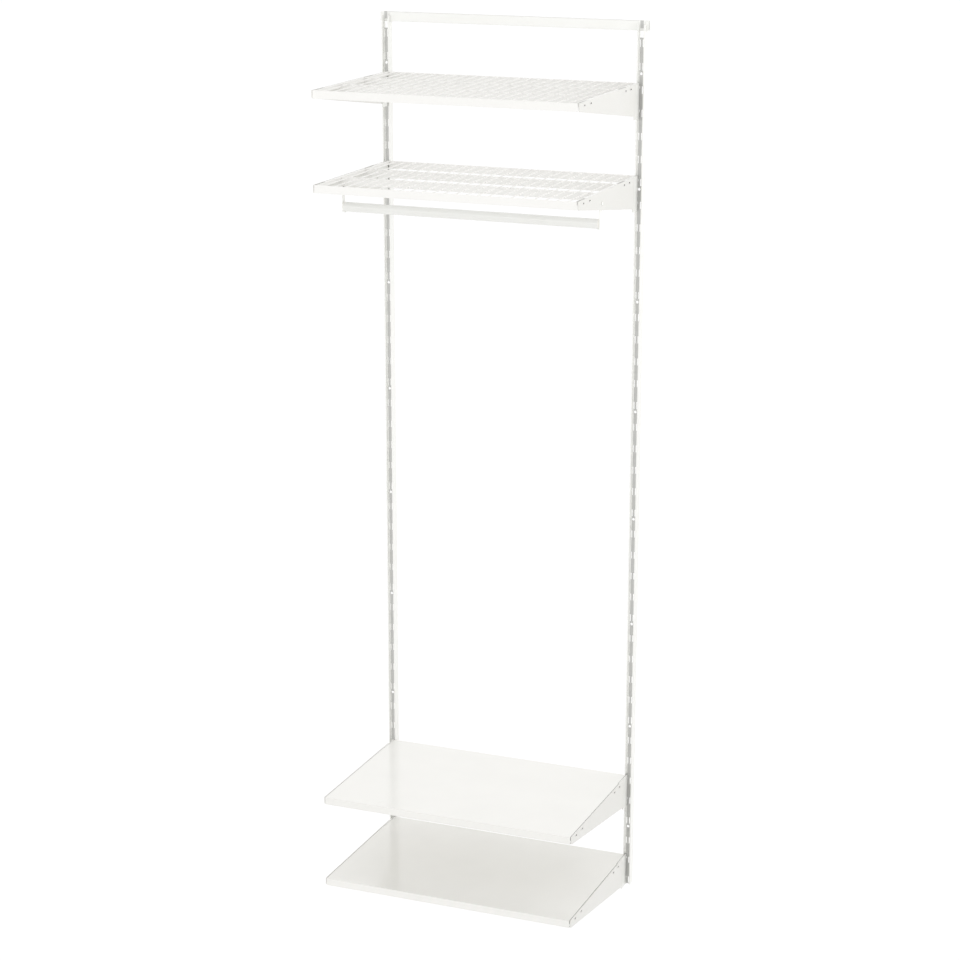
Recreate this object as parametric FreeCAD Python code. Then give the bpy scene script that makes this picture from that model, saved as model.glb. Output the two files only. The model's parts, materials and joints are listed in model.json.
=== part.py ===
import FreeCAD, Part
import os

os.makedirs("parts", exist_ok=True)

# Lengths are in millimetres. X runs along the wall, -Y points into the room and +Z is up.
# The origin is the middle of the suspension rail's back face, on the wall.

# Suspension rail
rail_overhang = 5.0
rail_height = 21.0
rail_sheet = 1.5
rail_bend = 2.5
rail_lip_rounding = 0.4
rail_screw_radius = 2.4
rail_access_radius = 4.4

# Uprights
upright_spacing = 600.0
upright_length = 2000.0
upright_depth = 19.0
upright_sheet = 1.5
groove_depth = 6.0
fold_rounding = 1.2
rail_rise = 7.0

# Openings in the uprights: two rows of slots, one line of screw holes, one window
slot_pitch = 50.0
first_slot = 10.0
slot_height = 16.0
slot_margin = 0.5
slots_per_screw = 5
first_screw_slot = 3
screw_drop = 15.0
screw_radius = 3.1
window_width = 10.0
window_height = 20.0
window_drop = 8.0

# Tongue with which an upright hangs on the rail
tongue_reach = 8.0
tongue_rounding = 1.2
hanging_clearance = 0.3

# Brackets
bracket_sheet = 2.0
bracket_inset = 0.8
bracket_rear_height = 70.0
bracket_nose_rounding = 5.0
plate_rear = 45.0
nose_setback = 1.0
rear_tab_place = 111.0
rear_clip_place = 77.0
front_tab_setback = 32.0
front_clip_setback = 71.0
tab_width = 9.0
tab_slot_height = 3.0
tab_clearance = 0.2

# Hook plates behind the brackets
hook_plate_front = 75.0
hook_plate_foot = 3.0
hook_plate_shoulder = 40.0
hook_edge_margin = 2.0
hook_drop = 16.0
hook_neck_height = 10.0
hook_tip_drop = 5.0
hook_tip_depth = 2.7
hook_clearance = 0.3
hook_side_clearance = 0.7

# Shelves: the tops of the wire ones are given below the uprights' upper ends,
# those of the sheet ones above the lower ends; each moves to the nearest slot
wire_shelf_drops = (124.0, 324.0)
sheet_shelf_heights = (276.0, 76.0)
shelf_front = 402.0
shelf_rear_clearance = 1.0
shelf_side_clearance = 0.7
hook_recess_margin = 2.0
shelf_rest_depth = 9.0
lip_side_clearance = 0.9
lip_height = 17.5
lip_sheet = 1.2
lip_rounding = 0.5

# Wire decks
deck_wire_radius = 1.25
deck_wire_pitch = 25.0
deck_side_gap = 15.0
cross_bar_sheet = 1.5
cross_bar_spaces = 3
side_strip_width = 3.0
strip_clearance = 0.7
side_recess_depth = 3.5
front_recess_end = 350.0
rear_recess_ends = (98.0, 148.0)

# Sheet decks
deck_sheet = 1.0
deck_rounding = 0.8
rear_flange_height = 12.0
front_return_depth = 8.0

# Clothes rail and its holders
tube_radius = 10.5
tube_wall = 1.2
tube_distance = 256.0
tube_drop = 68.5
cap_thickness = 2.0
cap_rounding = 1.2
plug_length = 12.0
plug_clearance = 0.3
tube_end_clearance = 0.4
saddle_clearance = 0.3
saddle_depth = 6.0
holder_sheet = 1.5
holder_width = 13.0
holder_hole_drop = 26.0
holder_hole_side_clearance = 0.5
holder_hole_play = 2.0
holder_tongue_width = 8.0
holder_tip_height = 6.0
holder_tip_clearance = 0.3

# Sizes that follow from those above
slot_width = bracket_sheet + 2 * hook_side_clearance
slot_offset = bracket_inset + bracket_sheet + bracket_sheet / 2
groove_half = slot_offset + slot_width / 2 + slot_margin
upright_width = 2 * (groove_half + 2 * upright_sheet)
rail_length = upright_spacing + upright_width + 2 * rail_overhang
rail_depth = upright_depth - groove_depth - upright_sheet - hanging_clearance
screw_pitch = slots_per_screw * slot_pitch
first_screw = first_slot + first_screw_slot * slot_pitch - screw_drop
hook_plate_height = hook_drop + slot_pitch + slot_height / 2 + hook_plate_foot
holder_hole_width = holder_tongue_width + 2 * holder_hole_side_clearance
holder_hole_height = holder_sheet + holder_hole_play

# Places that follow from those sizes
rail_top = rail_height / 2
upright_top = rail_top - rail_rise
foot = upright_top - upright_length
upright_x = upright_spacing / 2
web_front = groove_depth - upright_depth
web_rear = web_front + upright_sheet
window_top = upright_top - window_drop
window_bottom = window_top - window_height
slot_room = window_bottom - slot_height / 2 - (foot + first_slot)
slot_count = int(slot_room / slot_pitch) + 1
screw_room = window_bottom - screw_radius - (foot + first_screw)
screw_count = int(screw_room / screw_pitch) + 1
plate_outer = upright_x - bracket_inset
plate_inner = plate_outer - bracket_sheet
hook_inner = plate_inner - bracket_sheet
shelf_half_width = hook_inner - shelf_side_clearance
shelf_rear = upright_depth + shelf_rear_clearance
hook_room_front = hook_plate_front + hook_recess_margin
lip_half_width = plate_inner - lip_side_clearance
tab_inner = shelf_half_width - side_strip_width + tab_clearance
front_tab_place = shelf_front - front_tab_setback
tab_places = (rear_tab_place, front_tab_place)
clip_slot_places = (rear_clip_place, shelf_front - front_clip_setback)
cross_bar_space = (shelf_front - shelf_rear) / cross_bar_spaces
plate_nose = nose_setback - shelf_front
lip_back = lip_sheet - shelf_front
rear_bar_front = -shelf_rear - lip_sheet
deck_wire_spaces = int(2 * (shelf_half_width - deck_side_gap) / deck_wire_pitch)
overrun = upright_depth
near = tube_wall / 1000


def box(x_ends, y_ends, z_ends):
    """A block between three pairs of planes."""
    low = FreeCAD.Vector(min(x_ends), min(y_ends), min(z_ends))
    high = FreeCAD.Vector(max(x_ends), max(y_ends), max(z_ends))
    size = high - low
    return Part.makeBox(size.x, size.y, size.z, low)


def rod_x(radius, x_ends, y, z):
    """A round bar along X."""
    start = FreeCAD.Vector(min(x_ends), y, z)
    return Part.makeCylinder(radius, abs(x_ends[1] - x_ends[0]), start, FreeCAD.Vector(1, 0, 0))


def rod_y(radius, x, y_ends, z):
    """A round bar along Y."""
    start = FreeCAD.Vector(x, min(y_ends), z)
    return Part.makeCylinder(radius, abs(y_ends[1] - y_ends[0]), start, FreeCAD.Vector(0, 1, 0))


def plate_yz(outline, x_ends):
    """A plate with an outline of (Y, Z) corners, between two X planes."""
    corners = [FreeCAD.Vector(min(x_ends), y, z) for y, z in outline]
    face = Part.Face(Part.makePolygon(corners + corners[:1]))
    return face.extrude(FreeCAD.Vector(abs(x_ends[1] - x_ends[0]), 0, 0))


def edges_along(shape, axis, places):
    """The edges along one axis (0, 1 or 2) at the given pairs of the other two coordinates."""
    first, second = [number for number in range(3) if number != axis]
    found = []
    for edge in shape.Edges:
        ends = [vertex.Point for vertex in edge.Vertexes]
        for place in places:
            on_first = all(abs(end[first] - place[0]) < near for end in ends)
            on_second = all(abs(end[second] - place[1]) < near for end in ends)
            if on_first and on_second:
                found.append(edge)
    return found


def joined(pieces):
    """One solid from pieces that share faces or volume."""
    return pieces[0].fuse(pieces[1:]).removeSplitter()


def mirrored(shape):
    """The same piece on the left-hand side."""
    return shape.mirror(FreeCAD.Vector(0, 0, 0), FreeCAD.Vector(1, 0, 0))


def save(name, shape):
    """Write one piece as its own file."""
    shape.exportStep("parts/" + name + ".step")


def save_pair(name, shape, ending=""):
    """Write a right-hand piece and its mirror image."""
    save(name + "_right" + ending, shape)
    save(name + "_left" + ending, mirrored(shape))


# Suspension rail

def suspension_rail():
    """A channel open at the top: back plate on the wall, rounded floor, front strip."""
    ends = (-rail_length / 2, rail_length / 2)
    outer = box(ends, (-rail_depth, 0), (-rail_height / 2, rail_top))
    low_edges = [(-rail_depth, -rail_height / 2), (0, -rail_height / 2)]
    outer = outer.makeFillet(rail_bend, edges_along(outer, 0, low_edges))
    inner_y = (rail_sheet - rail_depth, -rail_sheet)
    inner_floor = rail_sheet - rail_height / 2
    inner = box(ends, inner_y, (inner_floor, rail_top + overrun))
    inner_edges = [(inner_y[0], inner_floor), (inner_y[1], inner_floor)]
    inner = inner.makeFillet(rail_bend - rail_sheet, edges_along(inner, 0, inner_edges))
    rail = outer.cut(inner)
    lip_edges = [(-rail_depth, rail_top), (inner_y[0], rail_top)]
    rail = rail.makeFillet(rail_lip_rounding, edges_along(rail, 0, lip_edges))
    for x in (-upright_x, upright_x):
        screw = rod_y(rail_screw_radius, x, (inner_y[1] - rail_sheet, overrun), 0)
        access = rod_y(rail_access_radius, x, (-rail_depth - overrun, inner_y[0] + rail_sheet), 0)
        rail = rail.cut([screw, access])
    return rail


# Uprights

def folded_channel():
    """The upright's section: a web set back between two doubled front lips."""
    ends = (foot, upright_top)
    half = upright_width / 2
    pieces = [box((-groove_half, groove_half), (web_front, web_rear), ends)]
    for side in (-1, 1):
        seam = side * (half - upright_sheet)
        pieces.append(box((side * groove_half, seam), (-upright_depth, web_rear), ends))
        pieces.append(box((seam, side * half), (-upright_depth, 0), ends))
    channel = joined(pieces)
    folds = []
    for x in (-half, -groove_half, groove_half, half):
        folds.append((x, -upright_depth))
    return channel.makeFillet(fold_rounding, edges_along(channel, 2, folds))


def web_openings():
    """Tools for the slots, the screw holes and the window in the web."""
    depth = (web_front - upright_sheet, web_rear + upright_sheet)
    tools = []
    for number in range(slot_count):
        middle = foot + first_slot + number * slot_pitch
        height = (middle - slot_height / 2, middle + slot_height / 2)
        for side in (-1, 1):
            inner = side * (slot_offset - slot_width / 2)
            tools.append(box((inner, inner + side * slot_width), depth, height))
    for number in range(screw_count):
        tools.append(rod_y(screw_radius, 0, depth, foot + first_screw + number * screw_pitch))
    tools.append(box((-window_width / 2, window_width / 2), depth, (window_bottom, window_top)))
    return tools


def hanging_tongue():
    """The web's upper end, bent over the rail's front strip and down behind it."""
    across = (-groove_half, groove_half)
    top = rail_top + upright_sheet
    leg_front = rail_sheet - rail_depth + hanging_clearance
    leg_rear = leg_front + upright_sheet
    rise = box(across, (web_front, web_rear), (window_top, top))
    over = box(across, (web_front, leg_rear), (rail_top, top))
    leg = box(across, (leg_front, leg_rear), (rail_top - tongue_reach, top))
    tongue = joined([rise, over, leg])
    bends = [(web_front, top), (leg_rear, top)]
    return tongue.makeFillet(tongue_rounding, edges_along(tongue, 0, bends))


def upright():
    """One upright around X = 0."""
    half = upright_width / 2 + overrun
    notch_floor = -rail_height / 2 - hanging_clearance
    notch = box((-half, half), (web_rear, overrun), (notch_floor, upright_top + overrun))
    return folded_channel().cut(web_openings() + [notch]).fuse(hanging_tongue()).removeSplitter()


# Brackets

def slot_level(height):
    """The upper hook's slot for a shelf whose top should be this far above the uprights' feet."""
    number = max(1, round((height - hook_drop - first_slot) / slot_pitch))
    return foot + first_slot + number * slot_pitch


def bracket_plate(top):
    """The right-hand side plate with its two resting tabs and two clip slots."""
    outline = [
        (-plate_rear, top),
        (plate_nose, top),
        (plate_nose, top - lip_height),
        (-plate_rear, top - bracket_rear_height),
    ]
    across = (plate_inner, plate_outer)
    plate = plate_yz(outline, across)
    nose = edges_along(plate, 0, [(plate_nose, top - lip_height)])
    plate = plate.makeFillet(bracket_nose_rounding, nose)
    rest = top - shelf_rest_depth
    slots = []
    for place in tab_places + clip_slot_places:
        along = (-place - tab_width / 2, -place + tab_width / 2)
        cut_x = (plate_inner - overrun, plate_outer + overrun)
        slots.append(box(cut_x, along, (rest, rest + tab_slot_height)))
    tabs = []
    for place in tab_places:
        along = (-place - tab_width / 2, -place + tab_width / 2)
        tabs.append(box((tab_inner, plate_outer), along, (rest - bracket_sheet, rest)))
    return plate.cut(slots).fuse(tabs).removeSplitter()


def holder_hole(top):
    """Tool for the opening in which a clothes-rail holder hangs."""
    floor = top - holder_hole_drop - holder_hole_height / 2
    along = (-tube_distance - holder_hole_width / 2, -tube_distance + holder_hole_width / 2)
    across = (plate_inner - overrun, plate_outer + overrun)
    return box(across, along, (floor, floor + holder_hole_height))


def hook_plate(top, upper_slot):
    """The right-hand rear plate; two hooks pass through the upright's slots and turn down."""
    low = top - hook_plate_height
    outline = [
        (web_front, top),
        (-hook_plate_front, top),
        (-hook_plate_front, top - hook_plate_shoulder),
        (-plate_rear, top - bracket_rear_height + hook_edge_margin),
        (-plate_rear, low),
        (web_front, low),
    ]
    across = (hook_inner, plate_inner)
    pieces = [plate_yz(outline, across)]
    tip_front = web_rear + hook_clearance
    tip_rear = tip_front + hook_tip_depth
    for slot in (upper_slot, upper_slot - slot_pitch):
        seat = slot - slot_height / 2
        pieces.append(box(across, (web_front, tip_rear), (seat, seat + hook_neck_height)))
        pieces.append(box(across, (tip_front, tip_rear), (seat - hook_tip_drop, seat)))
    return joined(pieces)


# Shelves

def front_lip(top):
    """The upright strip along the front edge; it ends just short of the bracket plates."""
    across = (-lip_half_width, lip_half_width)
    levels = (top - lip_height, top)
    lip = box(across, (-shelf_front, lip_back), levels)
    edges = [(-shelf_front, levels[0]), (-shelf_front, levels[1])]
    return lip.makeFillet(lip_rounding, edges_along(lip, 0, edges))


def deck_wire_row(top, y_ends):
    """The evenly spaced round wires of a deck, between two Y planes."""
    wires = []
    for number in range(deck_wire_spaces + 1):
        x = (number - deck_wire_spaces / 2) * deck_wire_pitch
        wires.append(rod_y(deck_wire_radius, x, y_ends, top - deck_wire_radius))
    return wires


def deck_wires(top):
    """The row of wires from the front lip to the rear bar."""
    return Part.makeCompound(deck_wire_row(top, (lip_back, rear_bar_front)))


def deck_bar(top, y_ends):
    """A flat bar on edge, as tall as the front lip, from side strip to side strip."""
    end = shelf_half_width - side_strip_width
    return box((-end, end), y_ends, (top - lip_height, top))


def cross_bar(top, distance):
    """A bar under the deck, with round-bottomed notches in which the wires lie flush."""
    y_ends = (-distance - cross_bar_sheet / 2, -distance + cross_bar_sheet / 2)
    through = (y_ends[0] - cross_bar_sheet, y_ends[1] + cross_bar_sheet)
    tools = []
    for wire in deck_wire_row(top, through):
        x = wire.BoundBox.Center.x
        opening = box((x - deck_wire_radius, x + deck_wire_radius), through,
                      (top - deck_wire_radius, top + deck_wire_radius))
        tools.append(wire)
        tools.append(opening)
    return deck_bar(top, y_ends).cut(tools)


def side_strip(top):
    """The right-hand edge of a wire deck; it rests on the bracket's tabs and has three recesses.

    Two lie above the tabs, and the rear one makes room for the hook plate."""
    across = (shelf_half_width - side_strip_width, plate_inner - strip_clearance)
    strip = box(across, (lip_back, -shelf_rear), (top - shelf_rest_depth, top))
    edges = [(across[0], top), (across[1], top)]
    strip = strip.makeFillet(lip_rounding, edges_along(strip, 1, edges))
    tab_recess_x = (across[1] - side_recess_depth, across[1] + overrun)
    hook_recess_x = (shelf_half_width, across[1] + overrun)
    recess_z = (top - overrun, top + overrun)
    front_recess = box(tab_recess_x, (lip_back - overrun, -front_recess_end), recess_z)
    rear_recess = box(tab_recess_x, (-rear_recess_ends[0], -rear_recess_ends[1]), recess_z)
    hook_recess = box(hook_recess_x, (-hook_room_front, overrun), recess_z)
    return strip.cut([front_recess, rear_recess, hook_recess])


def sheet_shelf(top):
    """A folded tray; its rear part is narrower, so that it passes between the hook plates."""
    half = lip_half_width
    inner = half - deck_sheet
    rear_inner = shelf_half_width - deck_sheet
    pieces = [
        box((-half, half), (-shelf_front, -hook_room_front), (top - deck_sheet, top)),
        box((-shelf_half_width, shelf_half_width), (-shelf_front, -shelf_rear), (top - deck_sheet, top)),
        box((-half, half), (-shelf_front, lip_back), (top - lip_height, top)),
        box((-shelf_half_width, shelf_half_width), (-shelf_rear - deck_sheet, -shelf_rear),
            (top - rear_flange_height, top)),
        box((-inner, inner), (-shelf_front, lip_back + front_return_depth),
            (top - lip_height, top - lip_height + deck_sheet)),
    ]
    levels = (top - shelf_rest_depth, top)
    step = (-hook_room_front - deck_sheet, -hook_room_front)
    for side in (-1, 1):
        pieces.append(box((side * inner, side * half), (-shelf_front, step[1]), levels))
        pieces.append(box((side * rear_inner, side * half), step, levels))
        pieces.append(box((side * rear_inner, side * shelf_half_width), (step[0], -shelf_rear), levels))
    tray = joined(pieces)
    bends = edges_along(tray, 0, [(-shelf_front, top), (-shelf_front, top - lip_height)])
    return tray.makeFillet(deck_rounding, bends)


# Clothes rail

def tube_axis(top):
    return top - tube_drop


def tube_end():
    """How far the tube reaches on each side; its caps end just inside the holders."""
    return plate_inner - holder_sheet - tube_end_clearance - cap_thickness


def clothes_tube(top):
    """The hanging tube, open at both ends."""
    end = tube_end()
    outer = rod_x(tube_radius, (-end, end), -tube_distance, tube_axis(top))
    return outer.cut(rod_x(tube_radius - tube_wall, (-end, end), -tube_distance, tube_axis(top)))


def tube_cap(top):
    """The right-hand end cap: a rounded disc with a plug inside the tube."""
    end = tube_end()
    disc = rod_x(tube_radius, (end, end + cap_thickness), -tube_distance, tube_axis(top))
    rims = []
    for edge in disc.Edges:
        if abs(edge.BoundBox.XMin - end - cap_thickness) < near:
            rims.append(edge)
    disc = disc.makeFillet(cap_rounding, rims)
    plug_radius = tube_radius - tube_wall - plug_clearance
    return joined([disc, rod_x(plug_radius, (end - plug_length, end), -tube_distance, tube_axis(top))])


def rail_holder(top):
    """The right-hand holder: a strap with a saddle below and a tip through the bracket above."""
    axis = tube_axis(top)
    inner_radius = tube_radius + saddle_clearance
    outer_radius = inner_radius + holder_sheet
    strap_x = (plate_inner - holder_sheet, plate_inner)
    saddle_x = (plate_inner - saddle_depth, plate_inner)
    along = (-tube_distance - holder_width / 2, -tube_distance + holder_width / 2)
    seat = top - holder_hole_drop - holder_hole_height / 2
    lower_part = box(saddle_x, along, (axis - outer_radius, axis))
    ring = rod_x(outer_radius, saddle_x, -tube_distance, axis)
    ring = ring.cut(rod_x(inner_radius, saddle_x, -tube_distance, axis))
    saddle = ring.common(lower_part)
    strap_end = rod_x(outer_radius, strap_x, -tube_distance, axis).common(lower_part)
    strap = box(strap_x, along, (axis, seat + holder_sheet))
    tongue_y = (-tube_distance - holder_tongue_width / 2, -tube_distance + holder_tongue_width / 2)
    tip_inner = plate_outer + holder_tip_clearance
    tip_outer = tip_inner + holder_sheet
    tongue = box((strap_x[0], tip_outer), tongue_y, (seat, seat + holder_sheet))
    tip = box((tip_inner, tip_outer), tongue_y, (seat, seat + holder_tip_height))
    return joined([saddle, strap_end, strap, tongue, tip])


save("suspension_rail", suspension_rail())

one_upright = upright()
for side_name, place in (("left", -upright_x), ("right", upright_x)):
    copy = one_upright.copy()
    copy.translate(FreeCAD.Vector(place, 0, 0))
    save("upright_" + side_name, copy)

wire_shelf_heights = [upright_length - drop for drop in wire_shelf_drops]
shelf_number = 0
for height in wire_shelf_heights + list(sheet_shelf_heights):
    shelf_number = shelf_number + 1
    shelf_name = "shelf_" + str(shelf_number)
    bracket_name = "bracket_" + str(shelf_number)
    upper_slot = slot_level(height)
    shelf_top = upper_slot + hook_drop
    plate = bracket_plate(shelf_top)
    carries_rail = shelf_number == len(wire_shelf_heights)
    if carries_rail:
        plate = plate.cut(holder_hole(shelf_top))
        save("clothes_rail_tube", clothes_tube(shelf_top))
        save_pair("clothes_rail_cap", tube_cap(shelf_top))
        save_pair("rail_holder", rail_holder(shelf_top))
    save_pair(bracket_name, plate, "_plate")
    save_pair(bracket_name, hook_plate(shelf_top, upper_slot), "_hook_plate")
    if height in wire_shelf_heights:
        save(shelf_name + "_front_lip", front_lip(shelf_top))
        save(shelf_name + "_deck_wires", deck_wires(shelf_top))
        bar_places = [shelf_rear + number * cross_bar_space for number in range(1, cross_bar_spaces)]
        cross_bars = [cross_bar(shelf_top, place) for place in bar_places]
        save(shelf_name + "_cross_bars", Part.makeCompound(cross_bars))
        save(shelf_name + "_rear_bar", deck_bar(shelf_top, (rear_bar_front, -shelf_rear)))
        save_pair(shelf_name + "_side_strip", side_strip(shelf_top))
    else:
        save(shelf_name + "_tray", sheet_shelf(shelf_top))
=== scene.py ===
# %% [markdown]
# # A wall-hung shelving unit with a hanging rail
#
# The unit is folded and welded steel under a white powder coat. A rail is screwed to the wall,
# two slotted uprights hang from it, and brackets hook into the slots. They carry two wire
# shelves, a clothes rail and two sheet-metal shelves. Every piece comes finished from the packed
# model, so this lesson adds the welds of the wire shelves, the coats, the light and the camera.

# %% Load the frame
import bpy
import bmesh
import json
import math
import random
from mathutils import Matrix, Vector


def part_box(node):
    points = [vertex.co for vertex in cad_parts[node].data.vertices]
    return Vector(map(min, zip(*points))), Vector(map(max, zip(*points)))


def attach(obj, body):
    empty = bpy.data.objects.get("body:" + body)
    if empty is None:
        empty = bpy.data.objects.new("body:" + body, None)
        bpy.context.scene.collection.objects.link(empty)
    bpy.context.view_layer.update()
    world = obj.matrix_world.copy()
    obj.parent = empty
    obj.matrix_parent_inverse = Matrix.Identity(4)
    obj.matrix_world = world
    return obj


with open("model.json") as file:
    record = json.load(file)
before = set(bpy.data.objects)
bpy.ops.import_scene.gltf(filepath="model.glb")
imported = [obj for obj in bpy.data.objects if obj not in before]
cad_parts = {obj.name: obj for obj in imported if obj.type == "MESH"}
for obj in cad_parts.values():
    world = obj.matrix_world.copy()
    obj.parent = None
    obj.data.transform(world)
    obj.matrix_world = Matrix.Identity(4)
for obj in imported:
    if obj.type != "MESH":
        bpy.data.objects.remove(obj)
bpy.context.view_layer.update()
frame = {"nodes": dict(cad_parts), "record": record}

nodes = frame["nodes"]
MM = 0.001

# %% [markdown]
# ## Places to work from
#
# Nothing is placed by eye: each new piece takes its place from the box of the piece that carries
# it. A box gives the lowest and the highest corner of a piece, so the foot of an upright or the
# end of a deck wire is one coordinate of one corner.

# %% Read the main places
rail_low, rail_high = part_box("suspension_rail")
upright_low, upright_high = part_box("upright_right")
foot = upright_low.z
upright_middle = (upright_low.x + upright_high.x) / 2
print("rail is", round((rail_high.x - rail_low.x) / MM), "mm long,",
      "uprights end", round(-foot / MM), "mm below the origin")

# %% [markdown]
# ## Colours
#
# Paint makers and photographs give colours as sRGB values, but shaders reckon with light, which
# is linear. One function turns a hex value into linear light, so that every colour below can be
# written the way that a colour picker shows it.

# %% Turn sRGB into linear light
def linear(hex_colour):
    """A colour such as #F2EFE8 as the linear red, green, blue and alpha of a shader."""
    channels = [int(hex_colour[place:place + 2], 16) / 255 for place in (1, 3, 5)]
    return [c / 12.92 if c <= 0.04045 else ((c + 0.055) / 1.055) ** 2.4 for c in channels] + [1.0]


print("pure white stays", linear("#FFFFFF")[:3])

# %% [markdown]
# ## Shader nodes
#
# A material is a small network of nodes. Adding a node, setting its options, typing its constant
# values and wiring its inputs are the same four steps each time, so one helper does them all.

# %% Add one node
def add_node(tree, kind, values=None, links=None, **settings):
    """Add a shader node: settings are its options, values its constants, links its inputs."""
    node = tree.nodes.new(kind)
    for name, value in settings.items():
        setattr(node, name, value)
    for socket, value in (values or {}).items():
        node.inputs[socket].default_value = value
    for socket, source in (links or {}).items():
        tree.links.new(source, node.inputs[socket])
    return node


def new_material(name):
    """An empty material, with its shader and output wired, ready for textures."""
    material = bpy.data.materials.new(name)
    material.use_nodes = True
    tree = material.node_tree
    tree.nodes.clear()
    shader = add_node(tree, "ShaderNodeBsdfPrincipled")
    add_node(tree, "ShaderNodeOutputMaterial", links={"Surface": shader.outputs["BSDF"]})
    return material, tree, shader


print("helpers ready")

# %% [markdown]
# ## Polyester powder coat
#
# All the metal is coated with polyester powder, which is sprayed on dry by static charge and
# melted in an oven. The film is about 70 micrometres thick. It hides the steel, rounds its edges
# a little and dries to a satin gloss with "orange peel": shallow waves, 1 to 3 mm long, that make
# reflections swim. White is titanium dioxide in a resin that is faintly warm. A flat white would
# look like paper, so the coat gets three layers of detail: the waves as bump, a slow drift of
# gloss and a very slight drift of tone from uneven film thickness. Besides these, painted shade
# darkens the paint where shade falls. In gaps an ambient occlusion node finds those places, as it
# looks for other surfaces within a few millimetres. In the uprights the floor of the groove gets
# painted shade, and one plane is enough to find it. The wires get no painted shade.

# %% Paint shade into the gaps and onto the groove floor
GAP_SHADE_REACH = 14.0 * MM      # walls nearer than this darken a point with painted shade
GAP_SHADE_RAYS = 16
GAP_SHADE_OPENNESS = (0.32, 0.58)    # an inner corner is half open, the bottom of a narrow gap hardly
WEB_FRONT = -13.0 * MM      # the floor of the uprights' groove
WEB_MARGIN = 0.3 * MM       # how far a point may lie from that floor and still count as on it
WEB_MIDDLE = 3.8 * MM       # half the width that gets painted shade, away from the walls


def gap_shade_factor(tree, darkest_share):
    """A factor of painted shade that darkens the paint where other surfaces stand close."""
    # painted shade: the less open a point is, the darker its paint
    openness = add_node(tree, "ShaderNodeAmbientOcclusion", {"Distance": GAP_SHADE_REACH}, samples=GAP_SHADE_RAYS)
    film = add_node(tree, "ShaderNodeMapRange",
                    {"From Min": GAP_SHADE_OPENNESS[0], "From Max": GAP_SHADE_OPENNESS[1], "To Min": darkest_share},
                    {"Value": openness.outputs["AO"]})
    return film.outputs["Result"]


def web_shade_factor(tree, darkest_share):
    """A factor of painted shade that darkens the paint on the flat floor of an upright's groove."""
    # painted shade: the groove's floor is darkened where the shadow of its ridge falls
    place = add_node(tree, "ShaderNodeTexCoord").outputs["Object"]
    axes = add_node(tree, "ShaderNodeSeparateXYZ", links={"Vector": place})
    deep = add_node(tree, "ShaderNodeMath", {1: WEB_FRONT, 2: WEB_MARGIN}, {0: axes.outputs["Y"]},
                    operation="COMPARE")
    across = add_node(tree, "ShaderNodeMath", links={0: axes.outputs["X"]}, operation="ABSOLUTE")
    flat = add_node(tree, "ShaderNodeMath", {1: upright_middle, 2: WEB_MIDDLE},
                    {0: across.outputs["Value"]}, operation="COMPARE")
    web = add_node(tree, "ShaderNodeMath", links={0: deep.outputs["Value"], 1: flat.outputs["Value"]},
                   operation="MULTIPLY")
    film = add_node(tree, "ShaderNodeMapRange", {"To Min": 1.0, "To Max": darkest_share},
                    {"Value": web.outputs["Value"]})
    return film.outputs["Result"]


# how far from a facing wall the painted shade reaches
print("the film thins within", round(GAP_SHADE_REACH / MM), "mm of a facing wall")

# %% Build the coat
PEEL_LENGTH = 5.0 * MM      # real waves are 1 to 3 mm; drawn coarser so that they show
PEEL_HEIGHT = 0.006 * MM
PEEL_NOISE = {"Scale": 1 / PEEL_LENGTH, "Detail": 1.0, "Roughness": 0.4}
FILM_DRIFT = 90.0 * MM      # the spray gun's passes are roughly a hand apart
FILM_NOISE = {"Scale": 1 / FILM_DRIFT, "Detail": 2.0, "Roughness": 0.5}
TONE_RANGE = (0.3, 0.7)     # the noise seldom leaves this range, so the two tones lie at its ends
POWDER_IOR = 1.5


def powder_coat(name, light, shade, gloss, shade_painter=None, darkest_share=1.0):
    """A white powder coat: two tones, roughness limits, and where and how far painted shade darkens it.
    """
    material, tree, shader = new_material(name)
    place = add_node(tree, "ShaderNodeTexCoord").outputs["Object"]
    drift = add_node(tree, "ShaderNodeTexNoise", FILM_NOISE, {"Vector": place})
    tone = add_node(tree, "ShaderNodeValToRGB", links={"Fac": drift.outputs["Fac"]})
    for stop, position, colour in zip(tone.color_ramp.elements, TONE_RANGE, (shade, light)):
        stop.position = position
        stop.color = linear(colour)
    paint = tone.outputs["Color"]
    # painted shade: the paint is scaled darker in gaps and on the groove floor, as each coat asks
    if shade_painter:
        thinned = add_node(tree, "ShaderNodeVectorMath", operation="SCALE",
                           links={0: paint, "Scale": shade_painter(tree, darkest_share)})
        paint = thinned.outputs["Vector"]
    rough = add_node(tree, "ShaderNodeMapRange", {"To Min": gloss[0], "To Max": gloss[1]},
                     {"Value": drift.outputs["Fac"]})
    peel = add_node(tree, "ShaderNodeTexNoise", PEEL_NOISE, {"Vector": place})
    bump = add_node(tree, "ShaderNodeBump", {"Strength": 1.0, "Distance": PEEL_HEIGHT},
                    {"Height": peel.outputs["Fac"]})
    shader.inputs["IOR"].default_value = POWDER_IOR
    tree.links.new(paint, shader.inputs["Base Color"])
    tree.links.new(rough.outputs["Result"], shader.inputs["Roughness"])
    tree.links.new(bump.outputs["Normal"], shader.inputs["Normal"])
    return material


print("waves are", round(PEEL_LENGTH / MM), "mm long, the film drifts over", round(FILM_DRIFT / MM), "mm")
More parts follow.
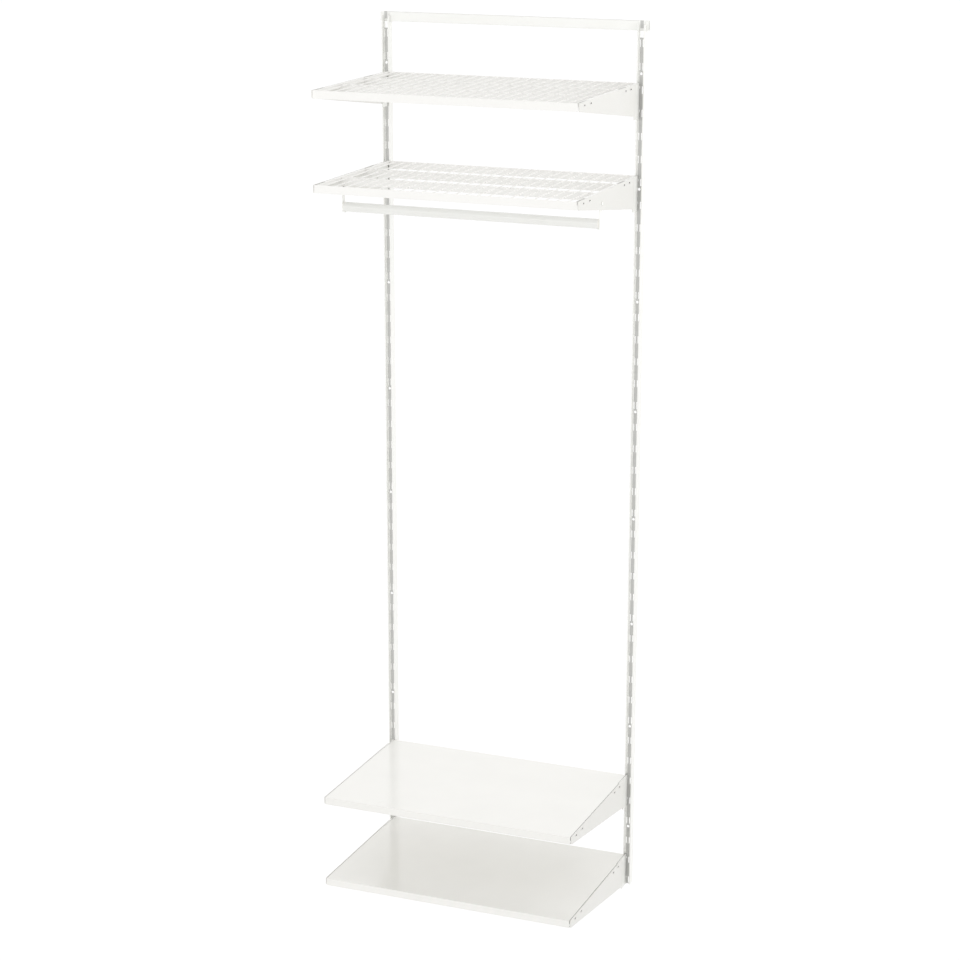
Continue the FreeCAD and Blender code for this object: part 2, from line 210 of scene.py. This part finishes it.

# %% [markdown]
# ## Seven coats from one powder
#
# Each kind of piece gets its own gloss and its own white. The whites differ to stand in for how
# the light falls on each kind, so they are painted light and shade. The glossiest is the flat
# sheet of the shelves, on which the powder flows best. Each coat has two close tones and says
# where painted shade darkens it, and to what share of the paint.

# %% Mix the coats
# the whites below are painted light and shade: lighter or darker as the light falls on each kind
upright_coat = powder_coat("polyester_powder_coat_on_uprights", light="#F1F1EE", shade="#EFEFEB",
                           gloss=(0.30, 0.38), shade_painter=web_shade_factor, darkest_share=0.60)
hook_coat = powder_coat("polyester_powder_coat_on_hook_plates", light="#E8E8E4", shade="#E5E5E1",
                        gloss=(0.30, 0.38), shade_painter=gap_shade_factor, darkest_share=0.60)
bracket_coat = powder_coat("polyester_powder_coat_on_brackets", light="#DFDEDA", shade="#DDDCD7",
                           gloss=(0.28, 0.36), shade_painter=gap_shade_factor, darkest_share=0.50)
sheet_coat = powder_coat("polyester_powder_coat_on_shelf_sheet", light="#ECEBE7", shade="#EAE9E5",
                         gloss=(0.12, 0.18), shade_painter=gap_shade_factor, darkest_share=0.08)
wire_coat = powder_coat("polyester_powder_coat_on_wire", light="#ECEBE8", shade="#EAE9E6",
                        gloss=(0.28, 0.36))
lip_coat = powder_coat("polyester_powder_coat_on_front_lips", light="#F1F0ED", shade="#EFEEEB",
                       gloss=(0.28, 0.36))
tube_coat = powder_coat("polyester_powder_coat_on_tube", light="#E6E6E3", shade="#E4E4E0",
                        gloss=(0.18, 0.22))
print("coats:", [m.name for m in bpy.data.materials if m.name.startswith("polyester")])

# %% [markdown]
# ## Moulded polyethylene
#
# The tube's end caps are injection-moulded polyethylene. The mould is lightly spark-eroded, so
# the cap is duller than the coat beside it and shows a fine, even grain instead of waves.

# %% End-cap plastic
SPARK_GRAIN = 0.6 * MM      # real grain is about 0.1 mm; drawn coarser so that it shows
GRAIN_NOISE = {"Scale": 1 / SPARK_GRAIN, "Detail": 3.0}
GRAIN_HEIGHT = 0.02 * MM
GRAIN_STRENGTH = 0.6
PLASTIC_GLOSS = (0.42, 0.55)
PLASTIC_IOR = 1.52


def moulded_plastic(name, colour):
    """A dull moulded plastic with spark-eroded grain."""
    material, tree, shader = new_material(name)
    place = add_node(tree, "ShaderNodeTexCoord").outputs["Object"]
    grain = add_node(tree, "ShaderNodeTexNoise", GRAIN_NOISE, {"Vector": place})
    bump = add_node(tree, "ShaderNodeBump", {"Strength": GRAIN_STRENGTH, "Distance": GRAIN_HEIGHT},
                    {"Height": grain.outputs["Fac"]})
    rough = add_node(tree, "ShaderNodeMapRange", {"To Min": PLASTIC_GLOSS[0], "To Max": PLASTIC_GLOSS[1]},
                     {"Value": grain.outputs["Fac"]})
    shader.inputs["Base Color"].default_value = linear(colour)
    shader.inputs["IOR"].default_value = PLASTIC_IOR
    tree.links.new(rough.outputs["Result"], shader.inputs["Roughness"])
    tree.links.new(bump.outputs["Normal"], shader.inputs["Normal"])
    return material


cap_plastic = moulded_plastic("moulded_polyethylene", "#ECEAE4")
print("plastic:", cap_plastic.name)

# %% [markdown]
# ## Dress the pieces
#
# Each imported node keeps its shape and only swaps its material. The slot that the record gives
# it says which finish it has, so a loop over the nodes is enough. The brackets share a slot with
# the uprights, but they and their hook plates have coats of their own, slightly darker, and the
# front lips of the wire shelves have a coat whiter than the wires behind them. These tones are
# painted shade and painted light: they stand in for how the light falls on these pieces.

# %% Give every node its finish
finishes = {
    "frame_powder_coat": upright_coat,
    "shelf_powder_coat": sheet_coat,
    "wire_powder_coat": wire_coat,
    "tube_powder_coat": tube_coat,
    "cap_plastic": cap_plastic,
}


def finish_of(name, slot):
    """The finish of one node."""
    if name.endswith("_hook_plate"):
        return hook_coat
    if name.startswith("bracket"):
        return bracket_coat
    if name.endswith("_front_lip"):
        return lip_coat
    return finishes[slot]


for entry in frame["record"]["subparts"]:
    node = nodes[entry["node"]]
    node.data.materials.clear()
    node.data.materials.append(finish_of(entry["node"], entry["material_slot"]))
print("dressed", len(nodes), "nodes")

# %% [markdown]
# ## Weld fillets
#
# Each deck wire is resistance-welded: two electrodes press it into the notches of the cross bars
# and against the front lip and the rear bar, and a burst of current melts the contact. A little
# metal is squeezed out and stays as a fillet, around the lower half of the wire at a notch and a
# little further round at its two ends. A fillet is a small section that is swept along the corner
# between two surfaces, so one function can make them all from a list of corner points and the two
# directions that lead away from the corner. The section is hollow, as molten metal is, and it
# thins out towards both ends. No two welds are alike, so their size varies; the seed keeps the
# result the same each time.

# %% Sweep a fillet along a corner
WELD_LEG = 0.6 * MM
WELD_SINK = 0.15 * MM       # reaches a little into both parts, so that no gap shows
WELD_HOLLOW = 0.3           # 0.5 is a straight slope, less is hollow
WELD_END = 0.25             # the share of the leg that is left at both ends
WELD_TAPER = 0.5            # 1 is the arch of a sine, less stays thick for longer
WELD_STEPS = 12
WELD_SPREAD = 0.25          # a leg is up to this share longer or shorter than WELD_LEG


def add_fillet(mesh, corner, leg):
    """Add one closed fillet; corner is a list of (point, first direction, second direction)."""
    rings = []
    for number, (point, first, second) in enumerate(corner):
        along = number / (len(corner) - 1)
        size = leg * max(WELD_END, math.sin(math.pi * along) ** WELD_TAPER)
        ring = [
            point - (first + second) * WELD_SINK,
            point + first * size - second * WELD_SINK,
            point + (first + second) * size * WELD_HOLLOW,
            point + second * size - first * WELD_SINK,
        ]
        rings.append([mesh.verts.new(place) for place in ring])
    for near_ring, far_ring in zip(rings, rings[1:]):
        for side in range(len(near_ring)):
            after = (side + 1) % len(near_ring)
            mesh.faces.new((near_ring[side], near_ring[after], far_ring[after], far_ring[side]))
    mesh.faces.new(rings[0][::-1])
    mesh.faces.new(rings[-1])


def around_wire(x, face_y, axis_z, radius, out, arc):
    """The corner between a wire along Y and a face across it; out is the face's direction."""
    corner = []
    for step in range(WELD_STEPS + 1):
        angle = math.radians(arc[0] + (arc[1] - arc[0]) * step / WELD_STEPS)
        away = Vector((math.cos(angle), 0, math.sin(angle)))
        corner.append((Vector((x, face_y, axis_z)) + away * radius, away, Vector((0, out, 0))))
    return corner


print("a fillet has", (WELD_STEPS + 1) * 4, "vertices")

# %% Weld the two wire decks
WIRE_PITCH = 25.0 * MM
BAR_SHEET = 1.5 * MM
NOTCH_ARC = (172, 368)      # degrees, from one side of the wire under it to the other
END_ARC = (150, 390)
SHARP_ANGLE = 40            # degrees; edges that bend less are shaded smooth
SEED = 7

chance = random.Random(SEED)
for shelf in ("shelf_1", "shelf_2"):
    wires_low, wires_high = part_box(shelf + "_deck_wires")
    bars_low, bars_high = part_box(shelf + "_cross_bars")
    wire_radius = (wires_high.z - wires_low.z) / 2
    axis_z = wires_low.z + wire_radius
    first_x = wires_low.x + wire_radius
    wire_count = round((wires_high.x - wires_low.x - 2 * wire_radius) / WIRE_PITCH) + 1
    faces = [(bars_low.y, -1, NOTCH_ARC), (bars_low.y + BAR_SHEET, 1, NOTCH_ARC),
             (bars_high.y - BAR_SHEET, -1, NOTCH_ARC), (bars_high.y, 1, NOTCH_ARC),
             (wires_low.y, 1, END_ARC), (wires_high.y, -1, END_ARC)]
    fillets = bmesh.new()
    for number in range(wire_count):
        for face_y, out, arc in faces:
            corner = around_wire(first_x + number * WIRE_PITCH, face_y, axis_z, wire_radius, out, arc)
            add_fillet(fillets, corner, WELD_LEG * (1 + chance.uniform(-WELD_SPREAD, WELD_SPREAD)))
    bmesh.ops.recalc_face_normals(fillets, faces=fillets.faces)
    data = bpy.data.meshes.new(shelf + "_weld_fillets")
    fillets.to_mesh(data)
    fillets.free()
    data.shade_smooth()
    data.set_sharp_from_angle(angle=math.radians(SHARP_ANGLE))
    data.materials.append(wire_coat)
    welds = bpy.data.objects.new(data.name, data)
    bpy.context.scene.collection.objects.link(welds)
    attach(welds, shelf)
    print(welds.name, "on", wire_count, "wires")

# %% [markdown]
# ## Floor and light
#
# The unit was photographed for a catalogue: cut out on white and lit from everywhere. A pale
# floor well below the unit and a white surround give that light. The surround is brighter at the
# horizon than overhead and behind the unit than in front, as before a lit white backdrop, so the
# light also reaches in between the lower shelves. Two softboxes add what tells the pieces apart:
# a wide one far off at the left draws a soft highlight along the tube, and a small one near the
# right-hand side makes the upper brackets brighter than the lower ones. The camera doesn't see
# the lamps themselves.

# %% Floor
FLOOR_DROP = 0.5            # the unit hangs clear of the floor
FLOOR_SIZE = 120.0          # so wide that its edge lies far off at the horizon
FLOOR_GLOW = 0.05           # lifts the paint's white to the white of the photograph

floor_material, _, floor_shader = new_material("matt_white_studio_floor")
floor_shader.inputs["Base Color"].default_value = linear("#FAFAFA")
floor_shader.inputs["Roughness"].default_value = 1.0
floor_shader.inputs["Emission Color"].default_value = linear("#FFFFFF")
floor_shader.inputs["Emission Strength"].default_value = FLOOR_GLOW
bpy.ops.mesh.primitive_plane_add(size=FLOOR_SIZE, location=(0, 0, foot - FLOOR_DROP))
floor = bpy.context.object
floor.name = "studio_floor"
floor.data.materials.append(floor_material)
print("floor at", round(floor.location.z, 3))

# %% Surround
HORIZON_LIGHT = 1.24
ZENITH_LIGHT = 0.90
FRONT_SHARE = 0.86          # of the strengths above, in front of the unit
BACK_SHARE = 1.15

world = bpy.data.worlds.new("white_surround")
bpy.context.scene.world = world
world.use_nodes = True
sky_tree = world.node_tree
surround = sky_tree.nodes["Background"]
surround.inputs["Color"].default_value = linear("#FFFFFF")
direction = add_node(sky_tree, "ShaderNodeTexCoord").outputs["Generated"]
axes = add_node(sky_tree, "ShaderNodeSeparateXYZ", links={"Vector": direction})
by_height = add_node(sky_tree, "ShaderNodeMapRange", {"To Min": HORIZON_LIGHT, "To Max": ZENITH_LIGHT},
                     {"Value": axes.outputs["Z"]})
by_depth = add_node(sky_tree, "ShaderNodeMapRange",
                    {"From Min": -1.0, "To Min": FRONT_SHARE, "To Max": BACK_SHARE},
                    {"Value": axes.outputs["Y"]})
glow = add_node(sky_tree, "ShaderNodeMath", operation="MULTIPLY",
                links={0: by_height.outputs["Result"], 1: by_depth.outputs["Result"]})
sky_tree.links.new(glow.outputs["Value"], surround.inputs["Strength"])
print("surround:", HORIZON_LIGHT, "at the horizon,", ZENITH_LIGHT, "overhead")

# %% Softboxes
def softbox(name, place, target, size, power):
    """An area light of a given width and height that faces its target."""
    lamp = bpy.data.lights.new(name, "AREA")
    lamp.shape = "RECTANGLE"
    lamp.size, lamp.size_y = size
    lamp.energy = power
    lit = bpy.data.objects.new(name, lamp)
    lit.location = place
    lit.rotation_euler = (Vector(target) - Vector(place)).to_track_quat("-Z", "Y").to_euler()
    lit.visible_camera = False
    bpy.context.scene.collection.objects.link(lit)


softbox("softbox_left", place=(-1.7, -4.2, 0.35), target=(0.0, -0.2, -0.6), size=(2.0, 0.7), power=14.0)
softbox("softbox_right", place=(1.3, -0.5, -0.1), target=(0.3, -0.2, -0.2), size=(0.4, 0.4), power=1.5)

# %% [markdown]
# ## Camera
#
# The photographer stood well back, to the right of the unit and a little above its top, with a
# long lens, so that the uprights stay almost parallel. The camera's place and focal length were
# worked out from the slots and the screw holes of the uprights and the corners of the shelves.

# %% Camera
CAMERA_PLACE = (1.9945, -5.1198, 0.5032)
CAMERA_TURN = 22.05         # degrees to the left of straight at the wall
CAMERA_DIP = 15.73          # degrees below level
FOCAL_LENGTH = 92.98        # mm on a sensor of the next width
SENSOR_WIDTH = 36.0
FARTHEST_SEEN = 200.0

camera_data = bpy.data.cameras.new("catalogue_camera")
camera_data.sensor_width = SENSOR_WIDTH
camera_data.lens = FOCAL_LENGTH
camera_data.clip_end = FARTHEST_SEEN
camera = bpy.data.objects.new("catalogue_camera", camera_data)
camera.location = CAMERA_PLACE
camera.rotation_euler = (math.radians(90 - CAMERA_DIP), 0, math.radians(CAMERA_TURN))
bpy.context.scene.collection.objects.link(camera)
bpy.context.scene.camera = camera
bpy.context.scene.view_settings.view_transform = "Standard"
print("camera at", tuple(camera.location))
